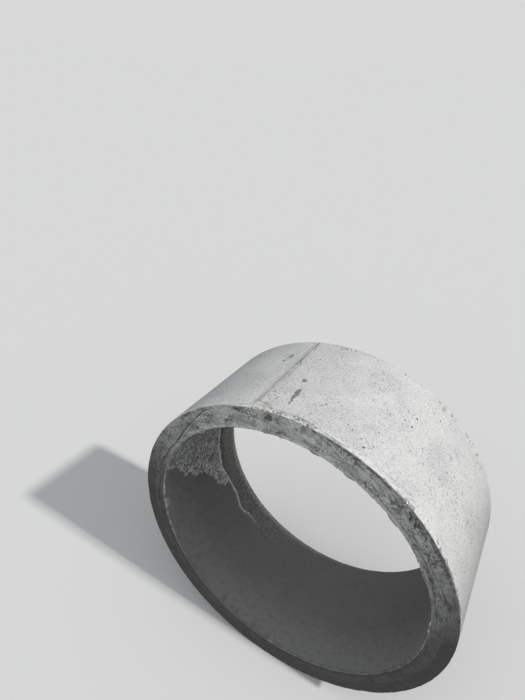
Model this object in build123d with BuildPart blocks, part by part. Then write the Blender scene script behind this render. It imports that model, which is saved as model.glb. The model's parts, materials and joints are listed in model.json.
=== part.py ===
from build123d import *
import os

# Concrete culvert pipe: one plain round length, cast upright in a single pour, with flat butt ends.
# It lies on its side. Y runs along the bore from the near end to the far end, and Z is up.
# The origin is on the bore's axis, halfway along the pipe. All sizes are in millimetres.

# Driving dimensions
bore_diameter = 1000.0
wall = 80.0
length = 480.0
outer_arris = 4.0  # radius left on the two outer rims by the mould's corners
inner_arris = 6.0  # radius of the two mouths of the bore, eased as the core is drawn

# Worked out from them
bore_radius = bore_diameter / 2

os.makedirs("parts", exist_ok=True)

# The wall's section is turned once round the bore's axis.
with BuildPart() as concrete_pipe:
    with BuildSketch(Plane.XY):
        with Locations((bore_radius, 0)):
            Rectangle(wall, length, align=(Align.MIN, Align.CENTER))
    revolve(axis=Axis.Y)
    rims = concrete_pipe.edges().filter_by(GeomType.CIRCLE).group_by(SortBy.RADIUS)
    fillet(rims[0], inner_arris)
    fillet(rims[-1], outer_arris)

concrete_pipe.part.label = "concrete_pipe"
export_step(concrete_pipe.part, "parts/concrete_pipe.step")
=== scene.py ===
import json
import math

import bpy
import numpy as np
from mathutils import Matrix, Vector


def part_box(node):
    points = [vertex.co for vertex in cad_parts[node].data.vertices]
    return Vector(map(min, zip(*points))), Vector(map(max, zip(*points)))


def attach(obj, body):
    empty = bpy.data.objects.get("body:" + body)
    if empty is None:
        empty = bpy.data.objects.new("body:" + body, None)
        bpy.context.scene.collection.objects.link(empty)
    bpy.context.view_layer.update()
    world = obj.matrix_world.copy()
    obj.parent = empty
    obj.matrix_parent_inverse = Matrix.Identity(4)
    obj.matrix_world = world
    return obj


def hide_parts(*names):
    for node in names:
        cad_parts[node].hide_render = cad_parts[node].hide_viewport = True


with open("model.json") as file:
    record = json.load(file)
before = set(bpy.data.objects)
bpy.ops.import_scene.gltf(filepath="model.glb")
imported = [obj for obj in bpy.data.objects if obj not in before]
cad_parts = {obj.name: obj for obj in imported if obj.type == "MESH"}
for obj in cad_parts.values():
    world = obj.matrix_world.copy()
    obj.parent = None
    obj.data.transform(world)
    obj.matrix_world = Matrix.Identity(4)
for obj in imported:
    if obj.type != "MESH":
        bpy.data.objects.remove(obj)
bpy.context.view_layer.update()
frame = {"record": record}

# The cast pipe
# One plain round casting of grey concrete, poured upright between a steel
# shell and a steel core and tamped down. The steel shaped its barrel and bore
# and the base plate its far end, and a trowel struck off the open near end.
PIPE_NODE = "concrete_pipe"
low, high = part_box(PIPE_NODE)
BARREL_R = high.x
LENGTH = high.y - low.y
bore_mount = next(mount for mount in frame["record"]["mounts"] if mount["name"] == "bore")
BORE_R = bore_mount["dims"]["r_mm"] / 1000
WALL = BARREL_R - BORE_R

# Its surface is made as a net, with rows round the bore and columns along the wall's
# section. The section is walked as one closed line, from the near rim along the
# barrel, in over the far end, back through the bore and out over the near end. Angles
# are in degrees from the top, positive to the right as seen from the near end.
NET_STEP = 0.0021
FAR_RIM, FAR_MOUTH, NEAR_MOUTH = LENGTH, LENGTH + WALL, 2 * LENGTH + WALL
PERIMETER = 2 * (LENGTH + WALL)
CORNERS = (0, FAR_RIM, FAR_MOUTH, NEAR_MOUTH, PERIMETER)
ROWS = round(2 * math.pi * BARREL_R / NET_STEP)
turn = np.arange(ROWS)[:, None] / ROWS
angle = turn * 360 - 180
walk = np.concatenate([
    np.linspace(start, end, round((end - start) / NET_STEP), endpoint=False)
    for start, end in zip(CORNERS, CORNERS[1:])
])
stretch = np.searchsorted(CORNERS, walk, side="right") - 1
on_barrel, on_far_end, on_bore, on_near_end = (stretch == k for k in range(4))
along = np.select([on_barrel, on_far_end, on_bore], [walk, LENGTH, NEAR_MOUTH - walk], 0.0)
radii = [BARREL_R, BARREL_R + FAR_RIM - walk, BORE_R]
radius = np.select([on_barrel, on_far_end, on_bore], radii, BORE_R + walk - NEAR_MOUTH)


def rise(low_edge, high_edge, value):
    """0 on the low edge's side and 1 on the high edge's, with a soft rise between them."""
    part = np.clip((value - low_edge) / (high_edge - low_edge), 0, 1)
    return part * part * (3 - 2 * part)


def uneven(round_cell, along_cell, seed, octaves=1):
    """Random unevenness from -1 to 1, in lumps as long round the pipe and along its section as the cells.

    Each further octave adds lumps of half the size and half the height.
    """
    rng = np.random.default_rng(seed)
    total = 0.0
    for octave in range(octaves):
        rows = round(2 * math.pi * BARREL_R / round_cell * 2 ** octave)
        columns = round(PERIMETER / along_cell * 2 ** octave)
        lattice = rng.uniform(-1, 1, (rows, columns))
        u, v = turn[:, 0] * rows, walk / PERIMETER * columns
        i, j = u.astype(int), v.astype(int)
        part_u, part_v = rise(0, 1, u - i)[:, None], rise(0, 1, v - j)
        across = lattice[i] * (1 - part_u) + lattice[(i + 1) % rows] * part_u
        layer = across[:, j] * (1 - part_v) + across[:, (j + 1) % columns] * part_v
        total = total + 0.5 ** octave * layer
    return total / (2 - 0.5 ** (octaves - 1))


# Depths are how far the real surface lies under the ideal one. Against steel it only waves a little, with
# the plates. The marks say how much of each finish, or of the soil and painted shade that darken hollows,
# the concrete's colour takes at each point of the net.
SKIN_LOW, PLATE_WAVE, FINE_WAVE = 0.0004, 0.00025, 0.0001
depth = SKIN_LOW + PLATE_WAVE * uneven(0.16, 0.12, 1) + FINE_WAVE * uneven(0.03, 0.03, 2)
marks = {name: np.zeros((ROWS, len(walk))) for name in ("bare", "slurry", "dirt_and_shade")}


def mark(name, where, cover):
    """Covers part of one stretch with a finish, where less of that finish was there before."""
    np.maximum(marks[name], np.where(where, cover, 0), out=marks[name])


# The trowel closed the open top roughly. It stands highest at its two edges, where the steel
# held the mix, and has shallow swipes round the wall, torn mortar and open pits between them.
TROWEL_LOW, SWIPE_DEEP, PIT_DEEP = 0.0018, 0.0005, 0.0014
TORN_LEAST, TORN_MORE = 0.0004, 0.0008
inside_edges = rise(0, 0.006, BARREL_R - radius) * rise(0, 0.007, radius - BORE_R)
swipes = SWIPE_DEEP * uneven(0.050, 0.011, 3, 2)
rough_places = rise(-0.20, 0.60, uneven(0.060, 0.045, 37, 2))
torn = (TORN_LEAST + TORN_MORE * rough_places) * uneven(0.022, 0.007, 4, 3)
pits = rough_places * rise(0.30, 0.62, uneven(0.018, 0.009, 5, 2))
trowelled = SKIN_LOW + inside_edges * (TROWEL_LOW + swipes + torn + PIT_DEEP * pits)
depth = np.where(on_near_end, trowelled, depth)
mark("dirt_and_shade", on_near_end, inside_edges * 0.32 * pits)

# A shrinkage crack crosses the near end at the upper left, from the
# outer rim down to the mouth of the bore, and runs on beside the mouth.
CRACK_ANGLES = (-120, -96, -88, -84, -79, -75, -72.5, -68, -63.5, -58, -55, -49.6, -43.6, -39.1, -34)
CRACK_RADII = (512, 523, 524, 516, 524, 529, 523, 519, 520, 514.5, 517, 528, 540, 551, 568)
CRACK_HALF_WIDTH, CRACK_DEEP, LOOSE_EDGE_DEEP = 0.0028, 0.0034, 0.0008
LINE_WAVER = 0.0010
crack_line = np.interp(angle, CRACK_ANGLES, CRACK_RADII) / 1000 + LINE_WAVER * uneven(0.020, 0.5, 6, 2)
crack_span = rise(-122, -112, angle) * rise(-31, -34, angle)
crack_span = crack_span * (1 - 0.35 * rise(-62, -72, angle)) * rise(-1.0, -0.3, uneven(0.030, 0.5, 25, 2))
crack = crack_span * rise(CRACK_HALF_WIDTH, 0.0002, np.abs(radius - crack_line))
loose_edge = crack_span * rise(0.001, -0.001, radius - crack_line)
depth += np.where(on_near_end, CRACK_DEEP * crack + LOOSE_EDGE_DEEP * loose_edge, 0)
mark("dirt_and_shade", on_near_end, crack)

# Finer cracks and scratches are drawn on it and beside it on the barrel. A place is an angle and a
# height in mm, which is up the barrel from the near rim, or down the near end where it is negative.
height = np.where(on_near_end, walk - PERIMETER, walk) * 1000
SWAY, LINE_REACH = 1.3, 8
sway = SWAY * uneven(0.010, 0.010, 26, 2)


def drawn(places, half_width):
    """Cover of a thin wavering line through the places, with its half width in mm."""
    heights = [place_height for _, place_height in places]
    close = (height > min(heights) - LINE_REACH) & (height < max(heights) + LINE_REACH)
    j = np.flatnonzero((on_barrel | on_near_end) & close)
    over, up = np.radians(angle) * BARREL_R * 1000 + sway[:, j], height[j] + sway[:, j]
    nearest = np.full(over.shape, np.inf)
    for (first_angle, first), (last_angle, last) in zip(places, places[1:]):
        first_over = math.radians(first_angle) * BARREL_R * 1000
        run, climb = math.radians(last_angle - first_angle) * BARREL_R * 1000, last - first
        part = np.clip(((over - first_over) * run + (up - first) * climb) / (run ** 2 + climb ** 2), 0, 1)
        nearest = np.minimum(nearest, np.hypot(over - first_over - part * run, up - first - part * climb))
    cover = np.zeros((ROWS, len(walk)))
    cover[:, j] = rise(half_width, 0.2 * half_width, nearest)
    return cover


# Each fine line has its places, its half width and its depth in mm.
LONG_CRACK = (
    (3, -55), (9, -58), (16, -53), (18.6, -60), (22, -65),
    (28, -63), (35, -67), (42, -64), (47, -66), (54, -60),
)
FINE_LINES = (
    (LONG_CRACK, 1.8, 0.8),
    (((54, -60), (60, -64), (70, -68), (84, -64)), 1.8, 0.8),
    (((51.4, -33), (54, -49), (58, -50), (61, -47), (66, -41), (74, -30)), 2.0, 0.9),
    (((36.7, -15), (36.2, -22), (35.0, -35)), 2.8, 1.4),
    (((38.2, -16), (39.6, -21), (41.0, -37)), 3.0, 1.5),
    (((40.3, -11), (41.6, -20), (43.2, -36)), 3.2, 1.6),
    (((41.8, -5), (45, -7), (48.4, -5)), 2.2, 0.9),
    (((46.6, -18), (47.7, -28)), 2.8, 1.2),
    (((48.2, -15), (51.8, -20)), 2.0, 0.9),
    (((44.4, -53), (46.0, -55), (48.4, -52)), 2.6, 0.9),
    (((42.7, -51), (43.3, -57)), 2.4, 0.8),
    (((38.2, -47), (38.9, -51)), 2.4, 0.8),
    (((24.6, -53), (25.3, -57)), 2.6, 0.9),
    (((53.2, -61), (54.2, -68), (55.0, -74)), 1.6, 0.7),
    (((59.5, -57), (62.5, -62)), 1.8, 0.7),
    (((66.4, -66), (70.0, -68)), 1.8, 0.7),
    (((7.9, -25), (8.9, -46), (10.4, -70)), 1.4, 0.7),
    (((-1.8, -30), (-2.2, -50), (-1.6, -72)), 1.3, 0.5),
    (((-14.6, -45), (-15.2, -58), (-14.8, -72)), 2.0, 1.0),
    (((-29, -20), (-27.5, -40), (-28.5, -60)), 1.4, 0.5),
    (((23.6, 21), (27, 22.5), (30.5, 24.5)), 1.3, 0.5),
)
for places, half_width, deep in FINE_LINES:
    line = drawn(places, half_width)
    depth += deep / 1000 * line
    mark("dirt_and_shade", on_barrel | on_near_end, min(0.35 + 0.4 * deep, 0.95) * line)

# Short scratches lie on the near end by chance, most thickly at the right.
SCRATCH_DEEP, SCRATCH_HALF_LENGTH = 0.0006, 7
short_marks = np.random.default_rng(32)
for first, last, count in ((-180, 180, 120), (30, 62, 34)):
    for _ in range(count):
        middle_angle, middle = short_marks.uniform(first, last), short_marks.uniform(-70, -8)
        lean, half_length = short_marks.normal(0, 0.7), SCRATCH_HALF_LENGTH * short_marks.lognormal(0, 0.4)
        lean_angle = math.degrees(half_length * math.sin(lean) / (BARREL_R * 1000))
        climb = half_length * math.cos(lean)
        ends = ((middle_angle - lean_angle, middle - climb), (middle_angle + lean_angle, middle + climb))
        line = drawn(ends, short_marks.uniform(1.3, 2.2)) * on_near_end
        depth += SCRATCH_DEEP * line
        mark("dirt_and_shade", on_near_end, 0.55 * line)

# At the upper left of the bore the mix was too dry to close against the core. Its skin is missing
# there, from the near mouth to the joint between the core's two lengths, and down to a ragged edge.
PATCH_ALONG = (0.0, 0.072, 0.127, 0.194, 0.249, 0.282, 0.329, 0.380)
PATCH_ANGLES = (-74, -80.7, -91.0, -95.8, -100.5, -106.9, -113.9, -117)
ragged = 2.6 * uneven(0.040, 0.030, 7, 3) + 1.3 * uneven(0.012, 0.010, 33, 3)
patch_edge = angle - np.interp(along, PATCH_ALONG, PATCH_ANGLES) + ragged
JOINT_ANGLES = (-144, -137.1, -134.7, -130.8, -124.9, -119.8, -116, -108.9, -103.5, -97.5, -89.5, -70)
JOINT_ALONG = (0.386, 0.379, 0.367, 0.366, 0.386, 0.385, 0.378, 0.365, 0.359, 0.362, 0.358, 0.360)
joint_line = np.interp(angle, JOINT_ANGLES, JOINT_ALONG) + 0.0025 * uneven(0.020, 0.5, 8, 2)
from_joint = joint_line - along
patch = rise(-0.3, 0.4, patch_edge) * rise(-18, -34, angle) * rise(-0.001, 0.002, from_joint)
PATCH_LOW, COMB_DEEP, GAPS_DEEP = 0.0018, 0.0022, 0.0020
comb = uneven(0.016, 0.007, 9, 3)
patch_depth = PATCH_LOW + COMB_DEEP * comb + GAPS_DEEP * rise(0.25, 0.6, comb)
depth += np.where(on_bore, patch * patch_depth, 0)
mark("bare", on_bore, patch)
mark("dirt_and_shade", on_bore, patch * 0.35 * rise(0.30, 0.60, comb))
mark("slurry", on_bore, patch * rise(-0.25, -0.50, comb))
smears = rise(0.060, 0.040, along) * rise(0.15, 0.45, uneven(0.100, 0.008, 38, 2))
mark("slurry", on_bore, 0.5 * patch * smears)

# Slurry lies as a thin rough lip along that edge, and it leaked from
# the core's joint as a narrow ridge that wavers and thins in places.
LIP_HIGH, LEAK_HIGH = 0.0013, 0.0024
lip = rise(1.3, 0.3, np.abs(patch_edge - 0.1)) * rise(-18, -34, angle) * rise(-0.004, 0.002, from_joint)
lip = lip * rise(-0.35, 0.25, uneven(0.009, 0.009, 10, 2))
leak = np.abs(from_joint + 0.0030 * uneven(0.012, 0.5, 34, 3))
leak = rise(0.0070, 0.0040, leak) * rise(-147, -134, angle) * rise(-20, -40, angle)
leak = leak * (0.4 + 0.6 * rise(-0.5, 0.2, uneven(0.010, 0.010, 11, 2)))
depth -= np.where(on_bore, LIP_HIGH * lip + LEAK_HIGH * leak, 0)
mark("slurry", on_bore, np.maximum(lip, leak))

# Past the joint the far band is pitted beside the patch. A thin skin of slurry that
# ran in over the mouth's edge covers the first 30 mm of the bore below the patch.
PITTED_DEEP, SPILL_HIGH = 0.0014, 0.0006
pitted = rise(-0.001, 0.004, -from_joint) * rise(0.045, 0.028, -from_joint) * rise(-117, -112, angle)
pitted = pitted * rise(-20, -50, angle) * rise(0.05, 0.40, uneven(0.009, 0.009, 27, 2))
depth += np.where(on_bore, PITTED_DEEP * pitted, 0)
mark("dirt_and_shade", on_bore, 0.40 * pitted)
SPILL_ANGLES = (-150, -130, -115, -110.8, -106, -97, -91, -84, -76)
SPILL_ALONG = (0.006, 0.010, 0.012, 0.019, 0.031, 0.037, 0.031, 0.020, 0.012)
spill = np.interp(angle, SPILL_ANGLES, SPILL_ALONG) + 0.0015 * uneven(0.020, 0.5, 28, 2) - along
depth -= np.where(on_bore, SPILL_HIGH * rise(-0.0005, 0.0015, spill), 0)
mark("slurry", on_bore, 0.16 * rise(0.004, 0.0005, np.abs(spill - 0.001)) * rise(-125, -105, angle))

# The shell's two halves met along the barrel on either side. Past the first
# 180 mm the joint is a narrow groove, for a stretch a double one, and nearer
# to the trowelled end it is a shallow trough in a band of rough skin.
SEAM_ANGLE = -15.5
GROOVE_DEEP, TROUGH_DEEP, SCUFF_DEEP, NICK_DEEP = 0.0013, 0.0005, 0.0006, 0.0009
for seam_angle in (SEAM_ANGLE, SEAM_ANGLE + 180):
    across = np.radians(angle - seam_angle) * BARREL_R + LINE_WAVER * uneven(0.5, 0.04, 12, 2)
    second = across - 0.0145 * rise(0.335, 0.290, along)
    groove_half = 0.0026 + 0.0018 * rise(0.280, 0.350, along)
    groove = rise(groove_half, 0.0006, np.abs(across)) * rise(0.165, 0.195, along)
    twin = rise(0.0022, 0.0004, np.abs(second)) * rise(0.208, 0.222, along) * rise(0.340, 0.325, along)
    groove = np.maximum(groove, twin) * rise(-1.0, 0.1, uneven(0.5, 0.016, 13, 2))
    trough = rise(0.0090, 0.0030, np.abs(across)) * rise(0.210, 0.150, along) * rise(0.030, 0.045, along)
    third = rise(0.0026, 0.0006, np.abs(across + 0.0115)) * rise(0.150, 0.200, along)
    groove = np.maximum(groove, 0.55 * third * rise(-0.3, 0.5, uneven(0.5, 0.022, 29, 2)))
    rough_band = rise(0.038, 0.022, np.abs(across - 0.026)) * rise(0.150, 0.100, along)
    rough_band += 0.7 * rise(0.019, 0.009, np.abs(across - 0.002)) * rise(0.090, 0.130, along)
    scuffs = uneven(0.0050, 0.0075, 15, 2)
    nicks = rise(0.22, 0.45, scuffs)
    scuffed = SCUFF_DEEP * uneven(0.012, 0.009, 14, 3) + NICK_DEEP * nicks
    depth += np.where(on_barrel, GROOVE_DEEP * groove + TROUGH_DEEP * trough + rough_band * scuffed, 0)
    smudge = 0.14 * rise(0.020, 0.004, np.abs(across)) * rise(-0.8, 0.4, uneven(0.010, 0.030, 30, 2))
    mark("dirt_and_shade", on_barrel, np.maximum(np.maximum(0.90 * groove, smudge), 0.24 * trough))
    mark("dirt_and_shade", on_barrel, 0.42 * rough_band * nicks)
    mark("slurry", on_barrel, 0.45 * rough_band * rise(-0.25, -0.50, scuffs))

# Over the top of the near rim the skin has flaked off, down to a fine line that runs on beside
# the rim. Further to the right the rim has three chips, and then it is broken and granular.
LINE_ANGLES = (-40, -24, -19.4, -16.9, -15.8, -15.0, -12.8, -10.6, -8.9, -5, -0.5, 2.8, 5, 9.4, 12.8, 16)
LINE_ALONG = (4, 6, 11, 17, 42, 46, 39, 28, 22, 18, 22, 19.5, 14, 11, 8, 4)
flake_line = np.interp(angle, LINE_ANGLES, LINE_ALONG) / 1000 + LINE_WAVER * uneven(0.020, 0.5, 16, 2)
rim_line = rise(0.0030, 0.0008, np.abs(along - flake_line)) * rise(-34, -26, angle) * rise(17, 14, angle)
rim_line = rim_line * rise(-0.8, 0.1, uneven(0.030, 0.5, 17, 2))
flake = rise(-17.5, -15, angle) * rise(15, 11, angle) * rise(0, -0.002, along - flake_line)
flake = flake * np.maximum(rise(-11.5, -9.5, angle), 0.8 * rise(0.016, 0.006, along))
RIM_LINE_DEEP, FLAKE_DEEP, CRUMBS_DEEP = 0.0008, 0.0014, 0.0016
crumbs = uneven(0.007, 0.010, 18, 3)
depth += np.where(on_barrel, RIM_LINE_DEEP * rim_line + flake * (FLAKE_DEEP + CRUMBS_DEEP * crumbs), 0)
mark("dirt_and_shade", on_barrel, np.maximum(0.60 * rim_line, 0.80 * flake * rise(0.08, 0.40, crumbs)))
mark("slurry", on_barrel, 0.75 * flake * rise(-0.16, -0.45, crumbs))
mark("bare", on_barrel, 0.60 * flake)

# A chip has its first and last angle and how far it reaches up the barrel.
RIM_CHIPS = ((34.4, 38.4, 0.0115), (31.5, 33.8, 0.0080), (42.5, 44.5, 0.0060))
RIM_CHIP_DEEP = 0.0028
ragged_rim = 0.004 * uneven(0.008, 0.5, 31, 3)
for first, last, tall in RIM_CHIPS:
    bite = rise(first - 0.3, first + 0.4, angle) * rise(last + 0.3, last - 0.4, angle)
    bite = bite * rise(0.001, -0.002, along + ragged_rim - tall)
    depth += np.where(on_barrel, RIM_CHIP_DEEP * bite, 0)
    mark("bare", on_barrel, bite)
    mark("dirt_and_shade", on_barrel, 0.5 * bite * rise(-0.2, 0.4, crumbs))
CRUMBLED_LOW, CRUMBLED_DEEP = 0.0006, 0.0012
crumbly = CRUMBLED_LOW + CRUMBLED_DEEP * crumbs
granular = rise(44, 50, angle) * rise(110, 88, angle) * rise(0.022, 0.010, along + ragged_rim)
depth += np.where(on_barrel, granular * crumbly, 0)
mark("dirt_and_shade", on_barrel, 0.55 * granular * rise(0.12, 0.45, crumbs))
mark("slurry", on_barrel, 0.45 * granular * rise(-0.15, -0.45, crumbs))

# The far rim has crumbled a little in two places.
crumbled_far = rise(-12, -7, angle) * rise(3, -2, angle) + rise(28, 33, angle) * rise(64, 54, angle)
crumbled_far = crumbled_far * rise(LENGTH - 0.026, LENGTH - 0.010, along + ragged_rim)
depth += np.where(on_barrel, crumbled_far * crumbly, 0)
mark("dirt_and_shade", on_barrel, 0.55 * crumbled_far * rise(0.10, 0.40, crumbs))
mark("slurry", on_barrel, 0.60 * crumbled_far * rise(-0.10, -0.40, crumbs))

# Air that was trapped against the steel left small round holes, nearly as deep as their radius.
HOLE_DEEP = 0.9


def air_hole(hole_angle, at, size):
    """Presses in one round hole of that radius at that angle and place on the walk."""
    centre = (hole_angle + 180) / 360
    reach = size / (2 * math.pi * BORE_R)
    i = np.arange(math.floor((centre - reach) * ROWS), math.ceil((centre + reach) * ROWS) + 1)
    j = np.flatnonzero(np.abs(walk - at) < size + NET_STEP)
    over = (i / ROWS - centre)[:, None] * 2 * math.pi * BARREL_R
    bowl = np.clip(1 - (over ** 2 + (walk[j] - at) ** 2) / size ** 2, 0, 1)
    spot = np.ix_(i % ROWS, j)
    depth[spot] += HOLE_DEEP * size * np.sqrt(bowl)
    # The hole's inside is darkened with painted shade.
    marks["dirt_and_shade"][spot] = np.maximum(marks["dirt_and_shade"][spot], rise(0, 0.35, bowl))


# The plainest ones on the photographed side are listed one by one, by angle,
# height up the barrel and radius in mm. They are drawn a third wider than
# they are so that they show. The rest lie in loose clusters by chance.
HOLE_DRAWN = 1.35
PLAIN_HOLES = (
    (-21.7, 317, 3.0), (-20.9, 345, 2.2), (-20.4, 359, 2.6), (-19.6, 375, 2.2), (-10.1, 328, 2.2),
    (5.2, 293, 2.2), (3.2, 125, 2.4), (9.2, 99, 2.0), (11.8, 90, 1.9), (18.6, 47, 3.2),
    (16.8, 71, 2.0), (20.0, 138, 2.0), (13.4, 250, 1.9), (19.7, 240, 2.2), (24.3, 262, 2.2),
    (27.1, 260, 2.6), (27.3, 308, 2.8), (41.8, 185, 2.2), (43.2, 237, 2.6), (46.4, 260, 3.2),
    (51.8, 248, 2.4), (58.9, 211, 2.6), (60.0, 143, 2.2), (42.5, 304, 2.6), (34.0, 392, 2.2),
    (56.8, 455, 3.0), (54.5, 446, 2.6), (29.8, 166, 2.0), (32.8, 216, 2.0),
)
for hole_angle, height_up, hole_radius in PLAIN_HOLES:
    air_hole(hole_angle, height_up / 1000, HOLE_DRAWN * hole_radius / 1000)
CHANCE_RADIUS, LARGEST_CHANCE_RADIUS = 0.0012, 0.0035
chance = np.random.default_rng(19)
for first, last, clusters in ((0, FAR_RIM, 90), (FAR_RIM, FAR_MOUTH, 20), (FAR_MOUTH, NEAR_MOUTH, 40)):
    for _ in range(clusters):
        middle_angle, middle = chance.uniform(-180, 180), chance.uniform(first, last)
        for _ in range(chance.integers(1, 6)):
            at = np.clip(middle + chance.normal(0, 0.020), first + 0.008, last - 0.008)
            hole_angle = middle_angle + chance.normal(0, 2.5)
            hole_radius = CHANCE_RADIUS * chance.lognormal(0.2, 0.4)
            air_hole(hole_angle, at, min(hole_radius, LARGEST_CHANCE_RADIUS))

# Where it clung to the near mouth's edge, the mix hangs into the bore as small lumps. The edge is
# pale with slurry on the left, crumbs stand beside it at the upper left, and lower down it is darkened with
# painted shade.
LUMP_HIGH, CRUMB_HIGH = 0.0060, 0.0021
mouth_reach = np.abs(walk - NEAR_MOUTH)
lumps = rise(-0.25, 0.6, uneven(0.030, 0.5, 20, 3))
lumps = lumps * (1 - 0.6 * rise(-50, -70, angle)) * (1 - 0.6 * rise(78, 100, angle))
hanging = LUMP_HIGH * lumps * rise(0.014, 0.002, mouth_reach)
depth -= np.where(on_bore, hanging, 0)
pale_edge = rise(0.015, 0.005, mouth_reach) * rise(-0.35, 0.25, uneven(0.011, 0.008, 21, 3))
pale_left = (0.60 + 0.25 * rise(-80, -95, angle)) * rise(-132, -110, angle)
mark("slurry", on_bore | on_near_end, pale_left * pale_edge)
crumbled = rise(0.003, 0.008, mouth_reach) * rise(0.021, 0.014, mouth_reach) * on_near_end
crumbled = crumbled * rise(-65, -61, angle) * rise(-26, -34, angle)
crumbled = crumbled * rise(-0.10, 0.35, uneven(0.016, 0.012, 39, 2))
depth -= CRUMB_HIGH * crumbled
mark("slurry", on_near_end, 0.85 * crumbled)
# Painted shade on the lower part of the mouth's edge.
shaded_mouth_edge = rise(0.014, 0.008, mouth_reach) * np.maximum(rise(-94, -118, angle), rise(85, 110, angle))
mark("dirt_and_shade", on_bore | on_near_end, 0.60 * shaded_mouth_edge)

# Outside the bore nothing stands past the ideal surface.
LEAST_LOW = 0.0001
depth = np.where(on_bore, depth, np.maximum(depth, LEAST_LOW))

# The base plate closed the far end. In a few places it left open, torn mortar, most of it along the rim.
OPEN_LOW, HONEYCOMB_DEEP = 0.0010, 0.0012
beside_rim = rise(0.040, 0.004, np.abs(walk - FAR_RIM)) * on_far_end
open_place = rise(0.42, 0.62, 0.75 * uneven(0.070, 0.040, 35, 3) + 0.35 * beside_rim) * on_far_end
honeycomb = uneven(0.010, 0.009, 36, 3)
depth += open_place * (OPEN_LOW + HONEYCOMB_DEEP * honeycomb)
mark("bare", on_far_end, 0.8 * open_place)
mark("dirt_and_shade", on_far_end, 0.6 * open_place * rise(0.10, 0.45, honeycomb))

# Every corner is rounded where the mix crept under the steel. The near ones are knocked
# and crumbled as well. A leg is how far from the corner the rounding starts, in metres.
grain = 1 + 0.35 * uneven(0.011, 0.5, 22, 3)
knocks = rise(0.35, 0.7, uneven(0.070, 0.5, 23, 2))
chip = rise(32, 35, angle) * rise(39, 37.5, angle)
top_break = rise(-20, -12, angle) * rise(17, 8, angle)
right_break = rise(47, 56, angle) * rise(84, 72, angle)
NEAR_LEG, TOP_LEG, CHIP_LEG, RIGHT_LEG, KNOCK_LEG = 0.0040, 0.0025, 0.0050, 0.0030, 0.0025
near_leg = NEAR_LEG + TOP_LEG * top_break + CHIP_LEG * chip + RIGHT_LEG * right_break + KNOCK_LEG * knocks
near_leg = near_leg * grain
MOUTH_LEG, MOUTH_KNOCK_LEG, FAR_RIM_LEG, FAR_MOUTH_LEG = 0.0050, 0.0040, 0.0035, 0.0050
mouth_leg = MOUTH_LEG + MOUTH_KNOCK_LEG * rise(0.2, 0.7, uneven(0.030, 0.5, 24, 3))
mouth_leg = mouth_leg * grain
INWARD = {"barrel": (-1, 0), "far_end": (0, -1), "bore": (1, 0), "near_end": (0, 1)}
moved_out, moved_along = np.array(list(INWARD.values()))[stretch].T
out = radius + moved_out * depth
ahead = along - LENGTH / 2 + moved_along * depth
for corner, leg, before, after in (
    (0, near_leg, "near_end", "barrel"),
    (FAR_RIM, FAR_RIM_LEG * grain, "barrel", "far_end"),
    (FAR_MOUTH, FAR_MOUTH_LEG * grain, "far_end", "bore"),
    (NEAR_MOUTH, mouth_leg, "bore", "near_end"),
):
    reach = (walk - corner + PERIMETER / 2) % PERIMETER - PERIMETER / 2
    arc = (np.clip(reach / leg, -1, 1) + 1) * math.pi / 4
    pull_before = leg * (1 - np.cos(arc)) - np.clip(reach, 0, leg)
    pull_after = leg * (1 - np.sin(arc)) - np.clip(-reach, 0, leg)
    out = out + INWARD[before][0] * pull_before + INWARD[after][0] * pull_after
    ahead = ahead + INWARD[before][1] * pull_before + INWARD[after][1] * pull_after
broken = rise(0.0045, 0.0065, near_leg) * rise(1.0, 0.6, np.minimum(walk, PERIMETER - walk) / near_leg)
mark("bare", on_barrel | on_near_end, broken)

# The net becomes one closed mesh. Plain stretches keep few faces, and the rough ones nearly all.
MOST_TRIANGLES = 192000
SHARP_DEGREES = 55
spin = np.radians(angle)
points = np.stack([out * np.sin(spin), ahead, out * np.cos(spin)], -1).reshape(-1, 3)
i, j = np.meshgrid(np.arange(ROWS), np.arange(len(walk)), indexing="ij")
next_i, next_j = (i + 1) % ROWS, (j + 1) % len(walk)
quad_corners = ((i, j), (i, next_j), (next_i, next_j), (next_i, j))
quads = np.stack([row * len(walk) + column for row, column in quad_corners], -1).reshape(-1, 4)
mesh = bpy.data.meshes.new("cast_pipe")
mesh.vertices.add(len(points))
mesh.vertices.foreach_set("co", points.astype(np.float32).ravel())
mesh.loops.add(quads.size)
mesh.loops.foreach_set("vertex_index", quads.astype(np.int32).ravel())
mesh.polygons.add(len(quads))
mesh.polygons.foreach_set("loop_start", np.arange(0, quads.size, 4, dtype=np.int32))
mesh.update(calc_edges=True)
for name, cover in marks.items():
    mesh.attributes.new(name, "FLOAT", "POINT").data.foreach_set("value", cover.astype(np.float32).ravel())
pipe = bpy.data.objects.new("cast_pipe", mesh)
bpy.context.scene.collection.objects.link(pipe)
thin = pipe.modifiers.new("thin", "DECIMATE")
thin.ratio = min(1, MOST_TRIANGLES / (2 * len(quads)))
thin.use_collapse_triangulate = True
bpy.context.view_layer.objects.active = pipe
bpy.ops.object.modifier_apply(modifier="thin")
mesh = pipe.data
mesh.polygons.foreach_set("use_smooth", np.ones(len(mesh.polygons), bool))
mesh.set_sharp_from_angle(angle=math.radians(SHARP_DEGREES))
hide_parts(PIPE_NODE)
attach(pipe, "root")


def linear(code):
    """An sRGB hex colour as the linear one that a shader takes."""
    parts = [int(code[k:k + 2], 16) / 255 for k in (1, 3, 5)]
    return [c / 12.92 if c <= 0.04045 else ((c + 0.055) / 1.055) ** 2.4 for c in parts] + [1.0]


def add(tree, kind, links=(), **settings):
    """Adds a node with its settings, and links or sets the inputs that links names or numbers.

    A Mix node of colours has its cover at input 0, its two colours at 6 and 7, and the result at output 2.
    """
    made = tree.nodes.new(kind)
    for name, value in settings.items():
        setattr(made, name, value)
    for name, value in dict(links).items():
        if isinstance(value, bpy.types.NodeSocket):
            tree.links.new(value, made.inputs[name])
        else:
            made.inputs[name].default_value = value
    return made


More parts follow.
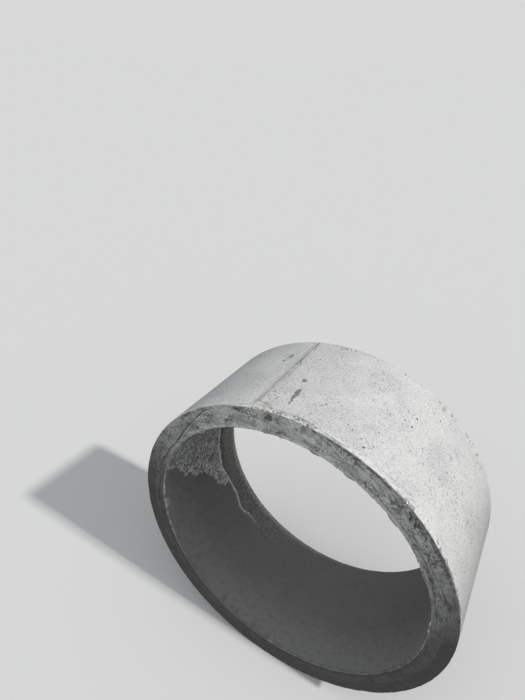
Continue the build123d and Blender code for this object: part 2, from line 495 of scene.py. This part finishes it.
# Portland cement concrete, cast against oiled steel: a pale, matt grey cement
# skin with fine sand just showing, and darker, coarser mortar where the trowel
# or the dry mix left no skin. Distances in its pattern are in millimetres.
BARREL_MM, BORE_MM, LENGTH_MM = BARREL_R * 1000, BORE_R * 1000, LENGTH * 1000
concrete = bpy.data.materials.new("cast_concrete")
concrete.use_nodes = True
tree = concrete.node_tree
shader = tree.nodes["Principled BSDF"]
place = add(tree, "ShaderNodeTexCoord").outputs["Object"]
x, y, z = add(tree, "ShaderNodeSeparateXYZ", {0: place}).outputs
in_ring = add(tree, "ShaderNodeCombineXYZ", {0: x, 1: z}).outputs[0]
ring_radius = add(tree, "ShaderNodeVectorMath", {0: in_ring}, operation="LENGTH").outputs["Value"]
radius_mm = add(tree, "ShaderNodeMath", {0: ring_radius, 1: 1000.0}, operation="MULTIPLY").outputs[0]
along_links = {0: y, 1: 1000.0, 2: LENGTH_MM / 2}
along_mm = add(tree, "ShaderNodeMath", along_links, operation="MULTIPLY_ADD").outputs[0]
radians_round = add(tree, "ShaderNodeMath", {0: x, 1: z}, operation="ARCTAN2").outputs[0]
round_mm = add(tree, "ShaderNodeMath", {0: radians_round, 1: BARREL_MM}, operation="MULTIPLY").outputs[0]


def between(value, low_edge, high_edge, most=1.0):
    """Cover that rises from none at the low edge to the most at the high edge, and stays there."""
    links = {"Value": value, "From Min": low_edge, "From Max": high_edge, "To Max": most}
    return add(tree, "ShaderNodeMapRange", links, interpolation_type="SMOOTHSTEP").outputs[0]


def patches(size_mm, low_edge, high_edge, most=1.0, detail=2.0, rough=0.5, over=place):
    """Cover of an uneven tone whose patches are about that size."""
    links = {"Vector": over, "Scale": 1000 / size_mm, "Detail": detail, "Roughness": rough}
    return between(add(tree, "ShaderNodeTexNoise", links).outputs["Fac"], low_edge, high_edge, most)


def pinholes(spacing_mm, size_mm, part, most):
    """Cover of round specks of that width, in that part of the cells of a net with that spacing."""
    cells = add(tree, "ShaderNodeTexVoronoi", {"Vector": place, "Scale": 1000 / spacing_mm})
    edge = size_mm / 2 / spacing_mm
    speck = between(cells.outputs["Distance"], edge * 1.3, edge * 0.7, most)
    draw = add(tree, "ShaderNodeSeparateColor", {0: cells.outputs["Color"]}).outputs[0]
    chosen = between(draw, part, part - 0.01)
    return add(tree, "ShaderNodeMath", {0: speck, 1: chosen}, operation="MULTIPLY").outputs[0]


def wisps(size_mm, width, most, over=place):
    """Cover of thin wandering lines about as far apart as the size. The width is a part of the noise."""
    links = {"Vector": over, "Scale": 1000 / size_mm, "Detail": 3.0, "Roughness": 0.55, "Distortion": 1.0}
    wave = add(tree, "ShaderNodeTexNoise", links).outputs["Fac"]
    off_line = add(tree, "ShaderNodeMath", {0: wave, 1: 0.5}, operation="SUBTRACT").outputs[0]
    off_line = add(tree, "ShaderNodeMath", {0: off_line}, operation="ABSOLUTE").outputs[0]
    return between(off_line, width, width * 0.3, most)


# The barrel and the near end, laid out flat in millimetres: the end lies at negative heights under the near
# rim. Noise of 12 mm shifts the layout by a few millimetres, so that the stains on it have ragged edges.
WAVER_SIZE, WAVER_REACH = 12, 14.0
height_mm = add(tree, "ShaderNodeMath", {0: along_mm, 1: radius_mm}, operation="ADD").outputs[0]
height_mm = add(tree, "ShaderNodeMath", {0: height_mm, 1: BARREL_MM}, operation="SUBTRACT").outputs[0]
flat = add(tree, "ShaderNodeCombineXYZ", {0: round_mm, 1: height_mm}).outputs[0]
waver_links = {"Vector": place, "Scale": 1000 / WAVER_SIZE, "Detail": 3.0}
waver = add(tree, "ShaderNodeTexNoise", waver_links).outputs["Color"]
waver = add(tree, "ShaderNodeVectorMath", {0: waver, 1: (0.5, 0.5, 0.5)}, operation="SUBTRACT").outputs[0]
waver = add(tree, "ShaderNodeVectorMath", {0: waver, "Scale": WAVER_REACH}, operation="SCALE").outputs[0]
flat = add(tree, "ShaderNodeVectorMath", {0: flat, 1: waver}, operation="ADD").outputs[0]
flat = add(tree, "ShaderNodeVectorMath", {0: flat, 1: (1, 1, 0)}, operation="MULTIPLY").outputs[0]
FAR_OFF = 9.0


def stains(places, most, soft=0.25):
    """Cover of stains with soft ragged edges.

    A place is its angle, its height, half width and half height in mm, and its lean in degrees.
    """
    nearest = FAR_OFF
    for stain_angle, stain_height, half_width, half_height, lean in places:
        links = {
            "Vector": flat,
            "Location": (math.radians(stain_angle) * BARREL_MM, stain_height, 0),
            "Rotation": (0, 0, math.radians(lean)),
            "Scale": (half_width, half_height, 1),
        }
        local = add(tree, "ShaderNodeMapping", links, vector_type="TEXTURE").outputs[0]
        far = add(tree, "ShaderNodeVectorMath", {0: local}, operation="LENGTH").outputs["Value"]
        nearest = add(tree, "ShaderNodeMath", {0: far, 1: nearest}, operation="MINIMUM").outputs[0]
    return between(nearest, 1 + soft, 1 - soft, most)


# Long marks round the ring come from a noise that changes fast across the wall and slowly round it.
STREAK_STRETCH = 0.28
slow = add(tree, "ShaderNodeVectorMath", {0: place, "Scale": STREAK_STRETCH}, operation="SCALE").outputs[0]
across_wall = add(tree, "ShaderNodeCombineXYZ", {0: ring_radius, 1: y}).outputs[0]
streaked = add(tree, "ShaderNodeVectorMath", {0: slow, 1: across_wall}, operation="ADD").outputs[0]

# The cement skin, pale and nearly neutral. Sand and pinholes are drawn at 5 and 3 mm, twice their
# real size, so that they show, and the pinholes' dark is painted shade. The near rim is paler. The stains
# are a brown one at the near rim, grey and white ones along the joint, two wet spots, two soiled streaks,
# two stains at the far rim and a pair of scratches. Each layer below is a cover and its colour, over the
# layers before it.
wet_spots = [(-7.7, 201, 7.5, 9, 0), (-6.4, 131, 8, 17, 0), (-6.2, 106, 6.5, 22, 0), (-5.9, 78, 3.5, 16, 6)]
skin = linear("#e3e3e2")
for cover, code in (
    (patches(170, 0.40, 0.65, 0.5, 3), "#cdcdce"),
    (patches(45, 0.48, 0.72, 0.30, 4), "#c6c6c7"),
    (patches(5, 0.50, 0.66, 0.50), "#a0a0a1"),
    (patches(6, 0.53, 0.70, 0.50), "#f8f8f8"),
    (patches(7, 0.55, 0.67, patches(80, 0.40, 0.62, 0.60, 3)), "#8c8c8d"),
    # Pinholes, dark with painted shade.
    (pinholes(9, 3.2, 0.40, patches(60, 0.43, 0.62, 0.8, 3)), "#6a6a6c"),
    (patches(9, 0.42, 0.58, between(along_mm, 24, 9, 0.7)), "#f4f4f3"),
    (stains([(-11, 32, 13, 22, 0)], 0.5), "#bfb6b1"),
    (stains([(-15.0, 62, 9, 30, 0), (-14.8, 200, 11, 60, 0)], 0.30), "#b0b4af"),
    (stains([(-17.6, 150, 14, 125, 0)], patches(7, 0.50, 0.60, 0.6)), "#f2f3ee"),
    (stains(wet_spots, 0.85), "#747474"),
    (stains([(-20.6, 352, 7, 19, -8), (-21.6, 318, 5, 6, 0)], 0.75, 0.5), "#7c7c7d"),
    (stains([(33.8, 463, 6, 16, -20)], 0.6, 0.5), "#8e8e8a"),
    (stains([(-5.5, 464, 18, 9, 0)], patches(7, 0.46, 0.56, 0.8, 3), 0.5), "#8e837b"),
    (stains([(17.5, 132, 16, 1.2, 8), (17.6, 142, 11, 1.0, 8)], 0.5), "#8f8f8f"),
):
    skin = add(tree, "ShaderNodeMix", {0: cover, 6: skin, 7: linear(code)}, data_type="RGBA").outputs[2]

# Trowelled mortar, mottled by torn places and streaked along the wall by the trowel. Its sand is drawn at 5
# mm, so that it shows, and soil has gathered in the dark places. The two long dark bands just under the
# outer rim on the right are painted shadow under the rim's lip.
mortar = linear("#e4e4e3")
# The bands at 19 and 55 degrees are painted shadow under the rim's lip.
dark_places_and_rim_shadow = [
    (-43.5, -6.5, 30, 4, 0), (-33.5, -29, 7, 5, 0), (-25.5, -51, 18, 6, 0), (-19.7, -11, 18, 7, 0),
    (-9.1, -21, 17, 15, 0), (-41.5, -58, 10, 6, 0), (5.6, -6, 8, 4, 0), (19, -8, 130, 3, 0),
    (35, -33, 30, 14, -20), (42, -17, 52, 12, -4), (55, -8, 120, 5, 0), (62, -62, 60, 6, 0),
]
darkest_places = [(-9.1, -20, 10, 7, 30), (-20.5, -9, 7, 4, 0)]
for cover, code in (
    (patches(75, 0.42, 0.60, 0.55, 3), "#b2b2b1"),
    (patches(40, 0.46, 0.70, 0.40, 2), "#8e8e8d"),
    (stains([(-40, -42, 150, 36, 0)], 0.30, 0.5), "#7c7c7b"),
    (patches(15, 0.44, 0.66, patches(70, 0.38, 0.60, 0.75, 2), 4, 0.7, streaked), "#868685"),
    (patches(12, 0.48, 0.70, 0.70, 4, 0.7, streaked), "#fafaf8"),
    (wisps(60, 0.022, patches(60, 0.46, 0.60, 0.5, 3)), "#6f6f6e"),
    (patches(8, 0.50, 0.66, 0.55, 3, 0.6, streaked), "#747473"),
    (wisps(15, 0.030, patches(40, 0.50, 0.62, 0.5, 3), streaked), "#6c6c6b"),
    (patches(5, 0.51, 0.61, patches(40, 0.46, 0.62, 0.9, 2), 2, 0.6), "#4e4e4d"),
    (patches(5.5, 0.52, 0.62, patches(34, 0.40, 0.60, 1.0, 2), 2, 0.6), "#ffffff"),
    (stains(dark_places_and_rim_shadow, patches(16, 0.34, 0.56, 0.95, 4, 0.7), 0.6), "#6a6a69"),
    (stains(darkest_places, patches(9, 0.34, 0.54, 0.9, 3), 0.6), "#474542"),
):
    mortar = add(tree, "ShaderNodeMix", {0: cover, 6: mortar, 7: linear(code)}, data_type="RGBA").outputs[2]

# The bore's skin is drawn darker than the barrel's, as painted shade of the bore's inside, and lighter
# towards the near mouth, as painted light that comes in there. Past the core's joint it is pale and
# brownish at the top and speckled on the left.
shaded_bore_skin = linear("#828281")
far_links = {0: between(along_mm, 375, 415), 1: between(z, -0.32, 0.05)}
top_far = add(tree, "ShaderNodeMath", far_links, operation="MULTIPLY").outputs[0]
left_far = between(x, -0.05, -0.30, between(along_mm, 365, 385, 0.6))
for cover, code in (
    (patches(120, 0.40, 0.62, 0.6, 3), "#7a7a79"),
    # Lighter towards the near mouth: painted light.
    (between(along_mm, 230, 20, 0.8), "#9a9a99"),
    (patches(20, 0.48, 0.68, 0.50, 4), "#6f6f6e"),
    (patches(6, 0.53, 0.70, 0.40), "#9c9c9b"),
    # The bore's pinholes, dark with painted shade.
    (pinholes(11, 3.2, 0.30, patches(60, 0.46, 0.62, 0.7, 3)), "#565656"),
    (top_far, "#bcbab2"),
    (patches(15, 0.46, 0.58, left_far, 4, 0.7), "#b4b4b1"),
    (patches(8, 0.50, 0.60, left_far, 3, 0.6), "#4c4c4b"),
):
    shaded_bore_skin = add(tree, "ShaderNodeMix", {0: cover, 6: shaded_bore_skin, 7: linear(code)}, data_type="RGBA").outputs[2]

# The dry mortar in the bore's patch, with light grains and streaks.
dry = linear("#9c9c9a")
for cover, code in (
    (patches(26, 0.46, 0.62, 0.5, 2), "#828280"),
    (patches(8, 0.52, 0.62, 0.6, 2), "#646463"),
    (wisps(34, 0.045, patches(30, 0.42, 0.56, 0.95, 2)), "#ffffff"),
    (wisps(19, 0.040, patches(34, 0.44, 0.58, 0.85, 2)), "#ffffff"),
    (patches(7, 0.55, 0.64, 0.95, 2, 0.6), "#ffffff"),
):
    dry = add(tree, "ShaderNodeMix", {0: cover, 6: dry, 7: linear(code)}, data_type="RGBA").outputs[2]

# The finishes meet at the section's corners, and the marks lay bare mortar, slurry,
# and soil with painted shade in hollows over them.
bare = add(tree, "ShaderNodeAttribute", attribute_name="bare").outputs["Fac"]
slurry = add(tree, "ShaderNodeAttribute", attribute_name="slurry").outputs["Fac"]
dirt_and_shade = add(tree, "ShaderNodeAttribute", attribute_name="dirt_and_shade").outputs["Fac"]
MIDDLE_MM = (BARREL_MM + BORE_MM) / 2
inside = between(radius_mm, MIDDLE_MM + 1, MIDDLE_MM - 1)
off_barrel = between(radius_mm, BARREL_MM - 1, BARREL_MM - 2)
off_bore = between(radius_mm, BORE_MM + 1, BORE_MM + 2)
in_wall = add(tree, "ShaderNodeMath", {0: off_barrel, 1: off_bore}, operation="MULTIPLY").outputs[0]
before_near = between(along_mm, 12, 10)
at_near = add(tree, "ShaderNodeMath", {0: in_wall, 1: before_near}, operation="MULTIPLY").outputs[0]
past_far = between(along_mm, LENGTH_MM - 12, LENGTH_MM - 10)
at_far = add(tree, "ShaderNodeMath", {0: in_wall, 1: past_far}, operation="MULTIPLY").outputs[0]
bare_barrel = add(tree, "ShaderNodeMix", {0: bare, 6: skin, 7: mortar}, data_type="RGBA").outputs[2]
bare_bore = add(tree, "ShaderNodeMix", {0: bare, 6: shaded_bore_skin, 7: dry}, data_type="RGBA").outputs[2]
colour = add(tree, "ShaderNodeMix", {0: inside, 6: bare_barrel, 7: bare_bore}, data_type="RGBA").outputs[2]
colour = add(tree, "ShaderNodeMix", {0: at_near, 6: colour, 7: mortar}, data_type="RGBA").outputs[2]
colour = add(tree, "ShaderNodeMix", {0: at_far, 6: colour, 7: bare_barrel}, data_type="RGBA").outputs[2]
crumb_links = {0: inside, 6: linear("#eae9df"), 7: linear("#f6f6f4")}
crumb_tone = add(tree, "ShaderNodeMix", crumb_links, data_type="RGBA").outputs[2]
# Slurry is pale; hollows take a dark grey of soil and painted shade.
for cover, tone in ((slurry, crumb_tone), (dirt_and_shade, linear("#4c4c4c"))):
    colour = add(tree, "ShaderNodeMix", {0: cover, 6: colour, 7: tone}, data_type="RGBA").outputs[2]

# Painted shade: the lower parts are drawn darker towards the bottom, the open mortar of the near end most
# of all.
DRIFT_SIZE, DRIFT_REACH = 180, 0.16
drift_links = {"Vector": place, "Scale": 1000 / DRIFT_SIZE, "Detail": 3.0}
drift = add(tree, "ShaderNodeTexNoise", drift_links).outputs["Fac"]
drift = add(tree, "ShaderNodeMath", {0: drift, 1: 0.5}, operation="SUBTRACT").outputs[0]
height_links = {0: drift, 1: DRIFT_REACH, 2: z}
shade_height = add(tree, "ShaderNodeMath", height_links, operation="MULTIPLY_ADD").outputs[0]
painted_end_shade = between(shade_height, 0.55, -0.06, 0.87)
painted_end_shade = add(tree, "ShaderNodeMath", {0: painted_end_shade, 1: at_near}, operation="MULTIPLY").outputs[0]
# The barrel and the bore take painted shade low down as well.
outer_painted_shade, inner_painted_shade = between(shade_height, 0.37, 0.00, 0.62), between(shade_height, 0.00, -0.45, 0.35)
painted_low_shade = add(tree, "ShaderNodeMix", {0: inside, 2: outer_painted_shade, 3: inner_painted_shade}).outputs[0]
for cover, code in ((painted_low_shade, "#7a7a78"), (painted_end_shade, "#424241")):
    colour = add(tree, "ShaderNodeMix", {0: cover, 6: colour, 7: linear(code)}, data_type="RGBA").outputs[2]
tree.links.new(colour, shader.inputs["Base Color"])
shader.inputs["Roughness"].default_value = 0.88

# Grit of 2.5 mm stands half a millimetre proud all over,
# and torn grains of 7 mm stand further out of open mortar.
GRIT_SIZE, GRIT_HIGH, GRAIN_SIZE, GRAIN_HIGH = 2.5, 0.0005, 7, 0.0015
grit_links = {"Vector": place, "Scale": 1000 / GRIT_SIZE, "Detail": 3.0, "Roughness": 0.7}
grit = add(tree, "ShaderNodeTexNoise", grit_links).outputs["Fac"]
grit = add(tree, "ShaderNodeBump", {"Strength": 1.0, "Distance": GRIT_HIGH, "Height": grit}).outputs[0]
grain_links = {"Vector": place, "Scale": 1000 / GRAIN_SIZE, "Detail": 3.0, "Roughness": 0.65}
grains = add(tree, "ShaderNodeTexNoise", grain_links).outputs["Fac"]
open_mortar = add(tree, "ShaderNodeMath", {0: at_near, 1: bare}, operation="MAXIMUM").outputs[0]
grains = add(tree, "ShaderNodeMath", {0: grains, 1: open_mortar}, operation="MULTIPLY").outputs[0]
bump_links = {"Strength": 1.0, "Distance": GRAIN_HIGH, "Height": grains, "Normal": grit}
bump = add(tree, "ShaderNodeBump", bump_links)
tree.links.new(bump.outputs[0], shader.inputs["Normal"])
mesh.materials.append(concrete)

# The floor
# A plain pale studio floor of matt paint. It shows pale to
# the camera, and throws little light back at the pipe.
FLOOR_HALF = 300.0
FLOOR_CORNERS = ((-1, -1), (1, -1), (1, 1), (-1, 1))
floor_mesh = bpy.data.meshes.new("floor")
floor_points = [(across * FLOOR_HALF, back * FLOOR_HALF, low.z) for across, back in FLOOR_CORNERS]
floor_mesh.from_pydata(floor_points, [], [(0, 1, 2, 3)])
floor = bpy.data.objects.new("floor", floor_mesh)
bpy.context.scene.collection.objects.link(floor)


def looked_at(tree):
    """1 where the camera looks, straight on, mirrored or through glass, and 0 for the light on the pipe."""
    rays = add(tree, "ShaderNodeLightPath").outputs
    seen = rays["Is Camera Ray"]
    for name in ("Is Glossy Ray", "Is Transmission Ray"):
        seen = add(tree, "ShaderNodeMath", {0: seen, 1: rays[name]}, operation="MAXIMUM").outputs[0]
    return seen


floor_paint = bpy.data.materials.new("matt_floor_paint")
floor_paint.use_nodes = True
tree = floor_paint.node_tree
shade_links = {0: looked_at(tree), 6: linear("#505050"), 7: linear("#e6e6e6")}
shade = add(tree, "ShaderNodeMix", shade_links, data_type="RGBA").outputs[2]
paint = tree.nodes["Principled BSDF"]
tree.links.new(shade, paint.inputs["Base Color"])
paint.inputs["Roughness"].default_value = 0.95
paint.inputs["Specular IOR Level"].default_value = 0.0
floor_mesh.materials.append(floor_paint)

# The light
# A soft bank overhead that leans to the front and fades towards the horizon, an even fill from all
# round, and one soft key from the right. Past the floor's edge the camera sees the floor's own shade.
FILL = 0.14
DOME = 0.78
DOME_LEAN = math.radians(45)
DOME_FADE = 1.5
world = bpy.data.worlds.new("studio")
world.use_nodes = True
tree = world.node_tree
toward = add(tree, "ShaderNodeTexCoord").outputs["Generated"]
middle = (0, -math.sin(DOME_LEAN), math.cos(DOME_LEAN))
lift = add(tree, "ShaderNodeVectorMath", {0: toward, 1: middle}, operation="DOT_PRODUCT").outputs["Value"]
lift = add(tree, "ShaderNodeMath", {0: lift, 1: 0.0}, operation="MAXIMUM").outputs[0]
lift = add(tree, "ShaderNodeMath", {0: lift, 1: DOME_FADE}, operation="POWER").outputs[0]
strength = add(tree, "ShaderNodeMath", {0: lift, 1: DOME, 2: FILL}, operation="MULTIPLY_ADD").outputs[0]
bank = tree.nodes["Background"]
bank.inputs["Color"].default_value = linear("#fafcff")
tree.links.new(strength, bank.inputs["Strength"])
backdrop = add(tree, "ShaderNodeBackground", {"Color": linear("#d8d8d8"), "Strength": 1.0})
both_links = {0: looked_at(tree), 1: bank.outputs[0], 2: backdrop.outputs[0]}
both = add(tree, "ShaderNodeMixShader", both_links).outputs[0]
tree.links.new(both, tree.nodes["World Output"].inputs["Surface"])
bpy.context.scene.world = world

KEY_STRENGTH = 0.595
KEY_ANGLE = 46
KEY_WIDTH = 3
KEY_LEAN = -0.5
key_light = bpy.data.lights.new("key", "SUN")
key_light.energy = KEY_STRENGTH * math.pi
key_light.angle = math.radians(KEY_WIDTH)
key_light.color = linear("#fffefb")[:3]
key = bpy.data.objects.new("key", key_light)
key.rotation_euler = (math.radians(KEY_LEAN), math.radians(KEY_ANGLE), 0)
bpy.context.scene.collection.objects.link(key)

# The camera
# It stands about two metres over the floor, a little to the right of the near end, and looks down past it.
# RIGHT, DOWN and FORWARD are the picture's own directions, and FOCAL_PX is its focal length in pixels.
EYE = (0.4269, -1.2407, 1.4388)
RIGHT = Vector((0.85271, 0.51769, 0.06991))
DOWN = Vector((0.31609, -0.40476, -0.85805))
FORWARD = Vector((-0.41591, 0.75377, -0.50878))
FOCAL_PX = 496.4
IMAGE_HEIGHT = 700
SENSOR_MM = 36
lens = bpy.data.cameras.new("camera")
lens.sensor_width = SENSOR_MM
lens.lens = FOCAL_PX / IMAGE_HEIGHT * SENSOR_MM
camera = bpy.data.objects.new("camera", lens)
camera.matrix_world = Matrix.Translation(EYE) @ Matrix((RIGHT, -DOWN, -FORWARD)).transposed().to_4x4()
bpy.context.scene.collection.objects.link(camera)
bpy.context.scene.camera = camera
bpy.context.scene.view_settings.view_transform = "Standard"
